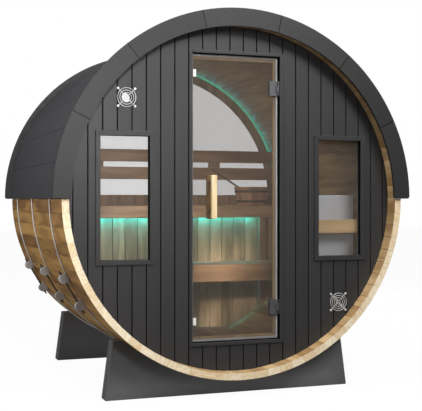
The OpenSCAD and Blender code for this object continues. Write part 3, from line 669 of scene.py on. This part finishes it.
def copy_at(piece, matrix):
    """A copy of a piece, moved and turned in its mesh."""
    select_only(piece)
    bpy.ops.object.duplicate()
    twin = bpy.context.view_layer.objects.active
    twin.matrix_world = matrix
    keep_place(twin)
    return twin


def on_rim(degrees, radius, y):
    """A point at an angle round the barrel axis, as seen from the front."""
    angle = math.radians(degrees)
    return Vector((radius * math.cos(angle), y, AXIS_Z + radius * math.sin(angle)))


def coat_plain_nodes():
    """CAD pieces that keep their own shape get their finishes."""
    finishes = {
        "upper_staves": "staves", "lower_staves": "staves", "roof_sheets": "felt", "hoops": "zinc",
        "front_wall_left": "wall_paint", "front_wall_right": "wall_paint",
        "front_wall_over_door": "wall_paint", "front_wall_under_door": "wall_paint",
        "door_seal": "seal", "door_glass": "bronze_glass", "left_window_pane": "smoked_glass",
        "right_window_pane": "smoked_glass", "back_window_glass": "clear_glass",
        "floor_joists": "floor_wood", "bench_bearers": "floor_wood", "heater_stand": "cabin_wood",
        "light_strips": "glow",
    }
    for node, finish in finishes.items():
        coat(NODES[node], finish)


def ease_boards():
    """Boards, frames and fittings whose edges are rounded."""
    eased_copy("front_cradle", 0.004, "cradle_paint")
    eased_copy("back_cradle", 0.004, "cradle_paint")
    eased_copy("front_roof_trim", 0.0025, "trim_paint")
    eased_copy("back_roof_trim", 0.0025, "trim_paint")
    eased_copy("door_frame", 0.002, "door_paint")
    eased_copy("left_window_frame", 0.002, "frame_paint")
    eased_copy("right_window_frame", 0.002, "frame_paint")
    eased_copy("back_wall_boards", 0.003, "rear_paint")
    eased_copy("back_window_frame", 0.002, "rear_paint")
    eased_copy("upper_bench", 0.004, "bench_wood")
    eased_copy("lower_bench", 0.004, "bench_wood")
    eased_copy("bench_posts", 0.003, "cabin_wood")
    eased_copy("bench_front_panel", 0.002, "panel_wood")
    eased_copy("backrest_boards", 0.004, "rest_wood")
    eased_copy("backrest_cleats", 0.003, "cabin_wood")
    eased_copy("floor_boards", 0.003, "floor_wood")
    eased_copy("heater_guard_rail", 0.003, "rail_wood")
    eased_copy("hoop_lugs", 0.003, "lug")
    eased_copy("tension_rods", 0.0008, "grey_steel")
    eased_copy("door_hinge_leaves", 0.0008, "black_steel")
    eased_copy("door_hinge_clamps", 0.0012, "grey_steel", "door")
    eased_copy("door_catches", 0.0015, "white", "door")
    eased_copy("ladle", 0.001, "ladle_wood")


def vent_guard(node):
    """A finger guard of welded wire rings on two crossed bars, held by four screws."""
    low, high = (Vector(corner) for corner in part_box(node))
    middle = (low + high) / 2
    wire, rings, outer, eye = 0.0016, 4, 0.056, 0.052
    eye_r, head_r, head_ease = 0.0058, 0.0055, 0.0012
    sunk, proud = Vector((0, 0.0015, 0)), Vector((0, 0.003, 0))
    face = Vector((middle.x, WALL_FACE - 2.2 * wire, middle.z))
    pieces = [ring(face, outer * step / rings, wire) for step in range(1, rings + 1)]
    bar_y = face.y + 1.4 * wire
    for side in (-1, 1):
        start = (middle.x - eye, bar_y, middle.z - side * eye)
        stop = (middle.x + eye, bar_y, middle.z + side * eye)
        pieces.append(rod(start, stop, wire, 10))
    for side_x in (-1, 1):
        for side_z in (-1, 1):
            spot = Vector((middle.x + side_x * eye, bar_y, middle.z + side_z * eye))
            pieces.append(ring(spot, eye_r, wire, 24, 8))
            pieces.append(rod(spot + sunk, spot - proud, head_r, 20, head_ease))
    settle(joined(pieces), node + "_wire", "chrome", node=node)


def trim_screws():
    """Dark screw heads that hold the trim boards to the ends of the staves."""
    radius, head_r, head_ease, sunk, proud = STAVE_R - STAVE_T / 2, 0.0045, 0.0006, 0.003, 0.0012
    board = 180 / TRIM_BOARDS
    pieces = []
    for face, way in ((TRIM_FACE, -1), (-TRIM_FACE, 1)):
        inner, outer = Vector((0, way * sunk, 0)), Vector((0, way * proud, 0))
        for step in range(TRIM_BOARDS):
            for share in (0.15, 0.5, 0.85):
                spot = on_rim((step + share) * board, radius, face)
                pieces.append(rod(spot - inner, spot + outer, head_r, 14, head_ease))
    settle(joined(pieces), "trim_screws", "screw")


def back_tongues():
    """Tongues that close the joints between the boards of the back wall."""
    low, high = (Vector(corner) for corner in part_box("back_wall_boards"))
    middle, half, reach, ease, short = (low.y + high.y) / 2, 0.004, 0.003, 0.0008, 0.01
    count = int(high.x / BOARD_PITCH)
    pieces = []
    for step in range(-count, count + 1):
        x = step * BOARD_PITCH
        foot = AXIS_Z - math.sqrt((AXIS_Z - low.z) ** 2 - x * x) + short
        corners = (x - reach, middle - half, foot), (x + reach, middle + half, high.z)
        pieces.append(block(*corners, ease))
    settle(joined(pieces), "back_wall_tongues", "rear_paint")


def door_handle(node, bar_finish, out):
    """A planed wooden bar on two steel spacers. The bar stands off the glass along -Y or +Y."""
    low, high = (Vector(corner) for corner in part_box(node))
    glass = GLASS_LOW[Y] if out < 0 else GLASS_HIGH[Y]
    bar_t, bar_ease, spacer_r, spacer_ease, share, bury = 0.026, 0.005, 0.010, 0.001, 0.66, 0.001
    if out < 0:
        bar = block(low, (high.x, low.y + bar_t, high.z), bar_ease, 3)
        seat = low.y + bar_t - bury
    else:
        bar = block((low.x, high.y - bar_t, low.z), high, bar_ease, 3)
        seat = high.y - bar_t + bury
    settle(bar, node + "_bar", bar_finish, "door", node)
    middle = (low + high) / 2
    reach = (high.z - low.z) * share / 2
    spacers = []
    for side in (-1, 1):
        z = middle.z + side * reach
        spacers.append(rod((middle.x, seat, z), (middle.x, glass, z), spacer_r, 24, spacer_ease))
    settle(joined(spacers), node + "_spacers", "grey_steel", "door", node)


def heater_box(low, high):
    """A folded steel housing with an open basin in its top."""
    ease, rim, basin = 0.006, 0.012, 0.07
    box = block(low, high, ease, 3)
    select_only(box)
    for face in box.data.polygons:
        face.select = face.normal.z > 0.99
    bpy.ops.object.mode_set(mode="EDIT")
    bpy.ops.mesh.select_mode(type="FACE")
    bpy.ops.mesh.inset(thickness=rim)
    bpy.ops.mesh.extrude_region_move(TRANSFORM_OT_translate={"value": (0, 0, -basin)})
    bpy.ops.object.mode_set(mode="OBJECT")
    settle(box, "heater_box", "stainless", node="heater_housing")


def split_stone(seed):
    """One rough, flattened stone at the origin."""
    radius, shape, dents = 0.030, (1.15, 0.9, 0.72), 0.004
    bpy.ops.object.select_all(action="DESELECT")
    bpy.ops.mesh.primitive_ico_sphere_add(subdivisions=3, radius=radius)
    stone = bpy.context.object
    stone.scale = shape
    keep_place(stone)
    bpy.ops.object.mode_set(mode="EDIT")
    bpy.ops.mesh.select_all(action="SELECT")
    bpy.ops.transform.vertex_random(offset=dents, normal=0.6, seed=seed)
    bpy.ops.object.mode_set(mode="OBJECT")
    bpy.ops.object.shade_smooth_by_angle(angle=math.radians(40))
    return stone


def heater():
    """The heater, with loose stones in rows in its basin."""
    low, high = (Vector(corner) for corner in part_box("heater_housing"))
    heater_box(low, high)
    chance = random.Random(7)
    kinds, rows, columns = 5, 4, 6
    margin, shift, sunk, drop = 0.050, 0.006, 0.026, 0.012
    shapes = [split_stone(kind + 1) for kind in range(kinds)]
    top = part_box("heater_stones")[1][Z]
    column_step = (high.x - low.x - 2 * margin) / (columns - 1)
    row_step = (high.y - low.y - 2 * margin) / (rows - 1)
    stones = []
    for row in range(rows):
        for column in range(columns):
            spot = Vector((
                low.x + margin + column * column_step + chance.uniform(-shift, shift),
                low.y + margin + row * row_step + chance.uniform(-shift, shift),
                top - sunk - chance.uniform(0.0, drop)))
            turn = Matrix.Rotation(chance.uniform(0, 6.28), 4, "Z")
            stones.append(copy_at(chance.choice(shapes), Matrix.Translation(spot) @ turn))
    for stone in shapes:
        bpy.data.objects.remove(stone)
    settle(joined(stones), "heater_rocks", "rock", node="heater_stones")


def bucket():
    """A tapered bucket of flat staves held by two steel bands."""
    low, high = (Vector(corner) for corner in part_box("bucket"))
    middle = (low + high) / 2
    tall = high.z - low.z
    rim, foot, wall, base, lift = (high.x - low.x) / 2, 0.108, 0.012, 0.015, 0.002
    staves, stave_ease, bottom_ease, band_t = 20, 0.0012, 0.001, 0.0015
    side = open_cone(middle, foot, rim, tall, staves)
    bpy.ops.object.mode_set(mode="EDIT")
    bpy.ops.mesh.select_all(action="SELECT")
    bpy.ops.mesh.edge_split(type="EDGE")
    bpy.ops.object.mode_set(mode="OBJECT")
    apply_modifier(side, "SOLIDIFY", thickness=wall, offset=-1)
    ease_edges(side, stave_ease)
    under, over = ((middle.x, middle.y, low.z + height) for height in (lift, base))
    bottom = rod(under, over, foot - wall, 48, bottom_ease)
    settle(joined([side, bottom]), "bucket_staves", "bucket_wood", node="bucket")
    bands = []
    for start, stop in ((0.16, 0.29), (0.70, 0.83)):
        level = Vector((middle.x, middle.y, low.z + tall * (start + stop) / 2))
        lower, upper = (foot + (rim - foot) * share for share in (start, stop))
        band = open_cone(level, lower, upper, tall * (stop - start), 72)
        apply_modifier(band, "SOLIDIFY", thickness=band_t, offset=1)
        bpy.ops.object.shade_smooth_by_angle(angle=SHARP)
        bands.append(band)
    settle(joined(bands), "bucket_bands", "black_steel")


def studio_floor():
    """A pale floor that looks white and keeps a soft shadow."""
    bpy.ops.object.select_all(action="DESELECT")
    bpy.ops.mesh.primitive_plane_add(size=60, location=(0, 0, 0))
    ground = bpy.context.object
    ground.name = "studio_floor"
    floor = Finish("studio floor", {"Roughness": 0.9})
    x, y, z = floor.place()
    shade = floor.noise(x * 0.5, y * 0.5, z, 2.0)
    seen = floor.node("ShaderNodeLightPath", {}, {}, "Is Camera Ray")
    pale = floor.mix(shade, (0.88, 0.88, 0.88), (0.92, 0.92, 0.92))
    bounce = (0.12, 0.12, 0.12)
    floor.set({"Base Color": floor.mix(seen, bounce, pale)})
    lit = Value(floor, floor.shader.outputs[0])
    white = floor.node("ShaderNodeEmission", {}, {"Color": WHITE, "Strength": 1.0})
    blend = floor.node("ShaderNodeMixShader", {}, {0: seen * FLOOR_WHITE, 1: lit, 2: white})
    floor.feed(floor.tree.nodes["Material Output"].inputs["Surface"], blend)
    ground.data.materials.append(floor.material)


def lamp(name, place, target, size, power, colour=WHITE, spread=180):
    """A flat lamp at a place, turned to a target, with its size in metres and power in watts."""
    data = bpy.data.lights.new(name, "AREA")
    data.shape = "RECTANGLE"
    data.size, data.size_y = size
    data.energy = power
    data.color = colour
    data.spread = math.radians(spread)
    light = bpy.data.objects.new(name, data)
    light.location = place
    light.rotation_euler = (Vector(target) - Vector(place)).to_track_quat("-Z", "Y").to_euler()
    light.visible_camera = False
    bpy.context.collection.objects.link(light)


def studio_light():
    """Soft surroundings that look white, lamps round the barrel, and lamps in the cabin."""
    world = bpy.data.worlds.new("studio")
    bpy.context.scene.world = world
    world.use_nodes = True
    world.node_tree.nodes.clear()
    sky = Sheet(world.node_tree)
    seen = sky.node("ShaderNodeLightPath", {}, {}, "Is Camera Ray")
    glossy = sky.node("ShaderNodeLightPath", {}, {}, "Is Glossy Ray")
    through = sky.node("ShaderNodeLightPath", {}, {}, "Is Transmission Ray")
    soft = sky.node("ShaderNodeBackground", {}, {"Color": SKY})
    white = sky.node("ShaderNodeBackground", {}, {"Color": WHITE})
    share = seen.most(through).most(glossy * GLOSS_WHITE)
    blend = sky.node("ShaderNodeMixShader", {}, {0: share, 1: soft, 2: white})
    sky.node("ShaderNodeOutputWorld", {}, {"Surface": blend})

    lamp("front", (-0.5, -4.4, 1.75), (-0.85, -0.9, 1.2), (0.3, 0.3), 1.2, spread=60)
    lamp("upper_left", (-1.2, -4.2, 2.6), (-0.9, -0.9, 1.7), (0.3, 0.3), 8.5, spread=60)
    lamp("front_fill", (-0.5, -4.4, 1.55), (-0.2, -0.9, 1.0), (0.3, 0.3), 12)
    lamp("cradle_fill", (0.0, -0.99, 0.03), (0.0, -0.82, 0.10), (1.6, 0.03), 0.35)
    lamp("cradle_back", (-0.3, -0.20, 0.06), (-0.6, 0.72, 0.12), (0.8, 0.05), 0.10, spread=50)
    lamp("high_front", (1.5, -4.8, 4.25), (0.0, -0.9, 1.2), (2.2, 1.8), 195)
    lamp("high_left", (-2.2, -2.5, 6.5), (0.5, -0.9, 1.0), (1.5, 1.5), 290)
    lamp("left_side", (-5.2, -0.5, 2.2), (-1.0, 0.0, 1.0), (1.3, 2.0), 112)
    lamp("right_side", (5.2, 1.2, 2.2), (1.0, 0.0, 1.0), (1.3, 2.0), 90)
    lamp("back_fill", (3.4, 6.0, 1.6), (0.0, 1.0, 1.0), (2.0, 1.5), 120)
    lamp("cabin_low", (0.10, -0.60, 0.34), (0.40, 0.87, 0.26), (0.08, 0.08), 0.075, WARM, 15)
    lamp("cabin_bench", (-0.10, -0.80, 0.98), (0.22, -0.03, 0.75), (0.3, 0.1), 0.84, WARM, 30)
    lamp("cabin_left", (-0.40, -0.78, 1.32), (0.22, 0.50, 1.22), (0.3, 0.6), 3.9, WARM, 95)
    lamp("cabin_rest", (-0.30, 0.10, 1.75), (-0.27, 0.82, 1.47), (0.3, 0.1), 0.38, WARM, 80)
    lamp("bench_glow", (0.0, 0.345, 1.121), (0.0, 0.366, 1.07), (1.24, 0.006), 11, LAMP_GREEN)
    for step in range(ARC_LAMPS):
        degrees = ARC_START + (step + 0.5) * ARC_SPAN / ARC_LAMPS
        place, target = on_rim(degrees, 1.035, 0.862), on_rim(degrees, 1.06, 0.80)
        lamp("arc_glow", place, target, (0.03, 0.03), 0.03, LAMP_GREEN)


def photo_camera():
    """The camera that took the picture: level, a little left of the door, on a long lens."""
    data = bpy.data.cameras.new("photo_camera")
    data.sensor_width = 36.0
    data.lens = 81.24
    data.shift_y = -0.0127
    camera = bpy.data.objects.new("photo_camera", data)
    camera.location = (-2.1175, FRONT_Y - 5.3789, AXIS_Z - 0.009)
    camera.rotation_euler = (math.radians(90), 0, math.radians(-19.619))
    bpy.context.collection.objects.link(camera)
    bpy.context.scene.camera = camera


coat_plain_nodes()
ease_boards()
vent_guard("upper_vent_guard")
vent_guard("lower_vent_guard")
trim_screws()
back_tongues()
door_handle("door_handle_outside", "handle_wood", -1)
# The inner bar gets the darker handle wood as painted shade
door_handle("door_handle_inside", "shaded_grip_wood", 1)
heater()
bucket()
studio_floor()
studio_light()
photo_camera()
bpy.context.scene.view_settings.view_transform = "Standard"
